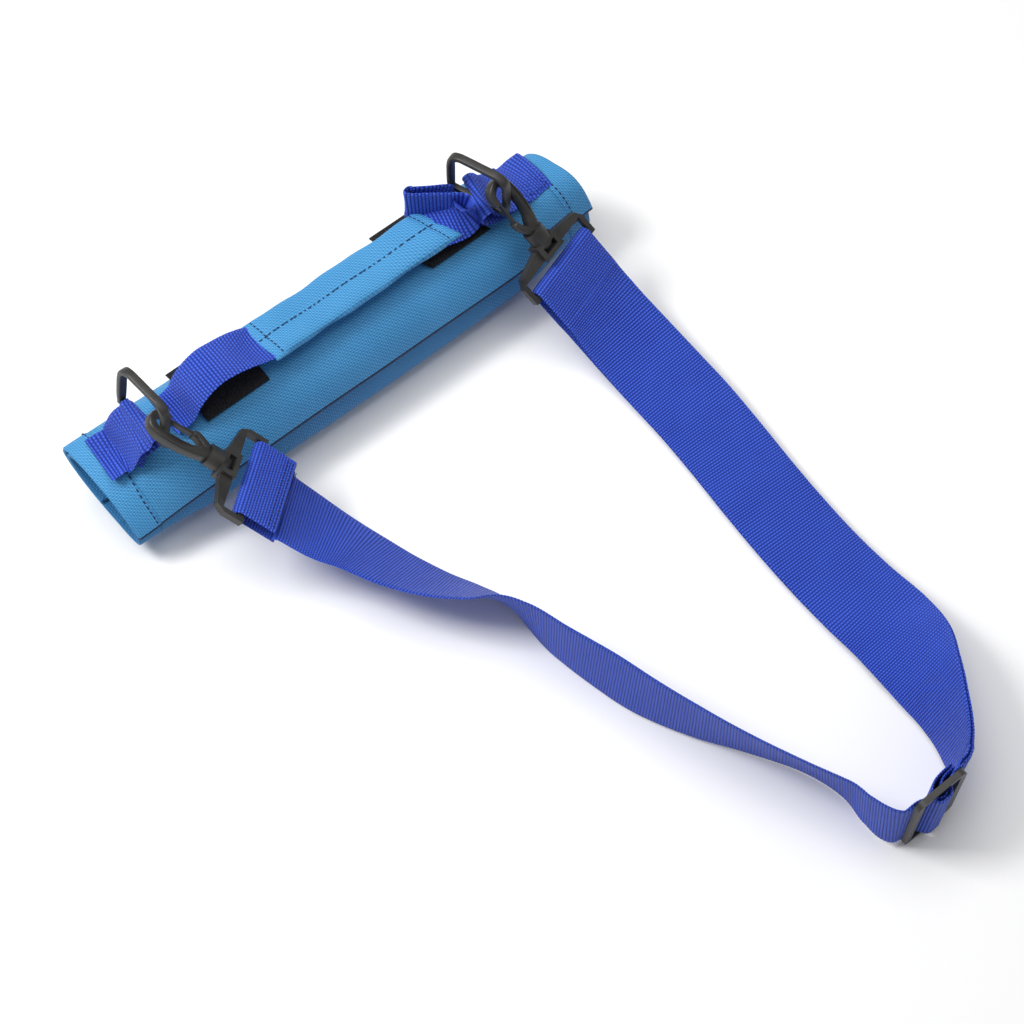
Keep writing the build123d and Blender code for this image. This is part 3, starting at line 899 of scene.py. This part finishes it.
def moulding(path, plane_normal):
    """Points and faces of a bar along stations (x, y, z, width, height), its width in the path's plane."""
    squareness = 0.45
    line = smooth_route(path, 0.6)[0]
    centre = line[:, :3]
    along = normalise(np.gradient(centre, axis=0))
    normal = np.broadcast_to(normalise(np.array(plane_normal, float)), centre.shape)
    across = normalise(np.cross(normal, along))
    turn = np.linspace(0, 2 * math.pi, 20, endpoint=False)
    c, q = np.cos(turn), np.sin(turn)
    u, v = np.sign(c) * np.abs(c) ** squareness, np.sign(q) * np.abs(q) ** squareness
    points = (centre[:, None] + across[:, None] * (line[:, 3:4] / 2 * u[None])[..., None]
              + normal[:, None] * (line[:, 4:5] / 2 * v[None])[..., None])
    return points.reshape(-1, 3), tube_faces(*points.shape[:2])


def joined(name, parts, body, node):
    """One plastic piece made of several mouldings, in place of a CAD node."""
    points, faces = [], []
    for more_points, more_faces in parts:
        start = len(points)
        points += list(more_points)
        faces += [tuple(start + i for i in face) for face in more_faces]
    obj = piece(name, points, faces, plastic)
    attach(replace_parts(obj, node), body)


def hook_bar(hook, rows):
    """A moulding whose stations are in the hook's own frame: x along, y across, z out of the claw."""
    world = [(*hook.at(x, y * hook.turn, z * hook.turn), w, h) for x, y, z, w, h in rows]
    return moulding(world, hook.out)


def make_claw(side, hook):
    """The hook's claw with its stem and raised ribs, and the thin sprung gate that closes it."""
    spine = hook_bar(hook, [
        (18.5, 6.3, 0, 3.2, 5.0), (14.5, 6.5, 0, 3.9, 5.8), (10.6, 5.0, 0, 4.5, 6.2), (8.4, 0.6, 0, 4.4, 6.4),
        (9.9, -3.6, 0, 5.0, 6.5), (14, -5.7, 0, 5.2, 6.6), (20, -6.0, 0, 5.3, 6.6), (28, -5.7, 0, 5.3, 6.6),
        (35, -4.5, 0, 5.8, 6.6), (40.5, -2.4, 0, 7.0, 6.8), (45.5, -0.4, 0, 7.4, 7.0)])
    arm = hook_bar(hook, [(33.2, 6.1, 0, 3.4, 6.0), (36.4, 5.9, 0, 4.0, 6.2), (39.8, 4.3, 0, 4.6, 6.4),
                          (44.4, 1.6, 0, 5.0, 6.6)])
    ribs = []
    for z in (3.35, -3.35):
        for y in (-1.5, 1.5):
            ribs.append(hook_bar(hook, [(13.5, -5.7 + y, z, 0.8, 0.8), (20, -6.0 + y, z, 0.9, 0.9),
                                        (28, -5.7 + y, z, 0.9, 0.9), (34.5, -4.6 + y, z, 0.8, 0.8)]))
    stem = hook_bar(hook, [(x, 0, 0, wide, wide) for x, wide in (
        (44, 6.4), (50, 6.0), (55.6, 5.8), (56.2, 7.4), (57.2, 7.6), (59.2, 5.6))])
    joined(f"hook_claw_{side}", [spine, arm, stem, *ribs], "root", f"hook_body_{side}")
    leaf = hook_bar(hook, [(34.8, 6.0, 0, 2.2, 4.6), (32, 5.9, 0, 1.5, 4.6), (26, 5.4, 0, 1.1, 4.4),
                           (20, 5.4, 0, 1.0, 4.2), (16.8, 5.6, 0, 1.1, 4.0)])
    joined(f"hook_gate_{side}", [leaf], f"gate_{side}", f"gate_{side}")


def make_ring(side, rod_centre, yaw, lean):
    """A rectangular ring standing on its rod, turned by yaw and leaning by lean degrees."""
    way = 1 if side == "left" else -1
    a, tilt = math.radians(yaw), math.radians(lean)
    forward = np.array([way * math.cos(a), way * math.sin(a), 0])
    across = np.cross((0, 0, 1), forward)
    up = np.array([0, 0, 1]) * math.cos(tilt) + forward * math.sin(tilt)
    normal = np.cross(across, up)

    def bar(stations):
        middle = np.array(rod_centre)
        return moulding([(*(middle + across * y + up * z), w, h) for y, z, w, h in stations], normal)

    leg = [(18, 0.5, 3.6, 4.2), (18.2, 6, 3.5, 5.2), (18.2, 14, 3.5, 5.6), (18.0, 22, 3.5, 5.6),
           (16.6, 27.4, 3.6, 5.6), (12.2, 30.0, 3.3, 5.0), (6, 30.3, 3.2, 5.0)]
    hoop = bar([(-y, *rest) for y, *rest in leg] + [(0, 30.3, 3.2, 5.0)] + leg[::-1])
    rod = bar([(-19.4, 0, 3.9, 3.9), (-6, 0, 3.8, 3.8), (6, 0, 3.8, 3.8), (19.4, 0, 3.9, 3.9)])
    joined(f"ring_hoop_{side}", [hoop, rod], f"ring_{side}", f"ring_{side}")


make_claw("left", left_hook)
make_claw("right", right_hook)
make_ring("left", rod_centre=(-127.0, -1.0, 76.0), yaw=4.0, lean=11.5)
make_ring("right", rod_centre=(103.0, -3.0, 76.0), yaw=20.0, lean=-1.0)

for node in ("swivel_loop_left", "swivel_loop_right", "tri_glide"):
    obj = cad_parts[node]
    obj.data.materials.clear()
    obj.data.materials.append(plastic)
    rounding = obj.modifiers.new("rounding", "BEVEL")
    rounding.width = 0.55 * MM
    rounding.segments = 2
    rounding.limit_method = "ANGLE"
    rounding.angle_limit = math.radians(40)
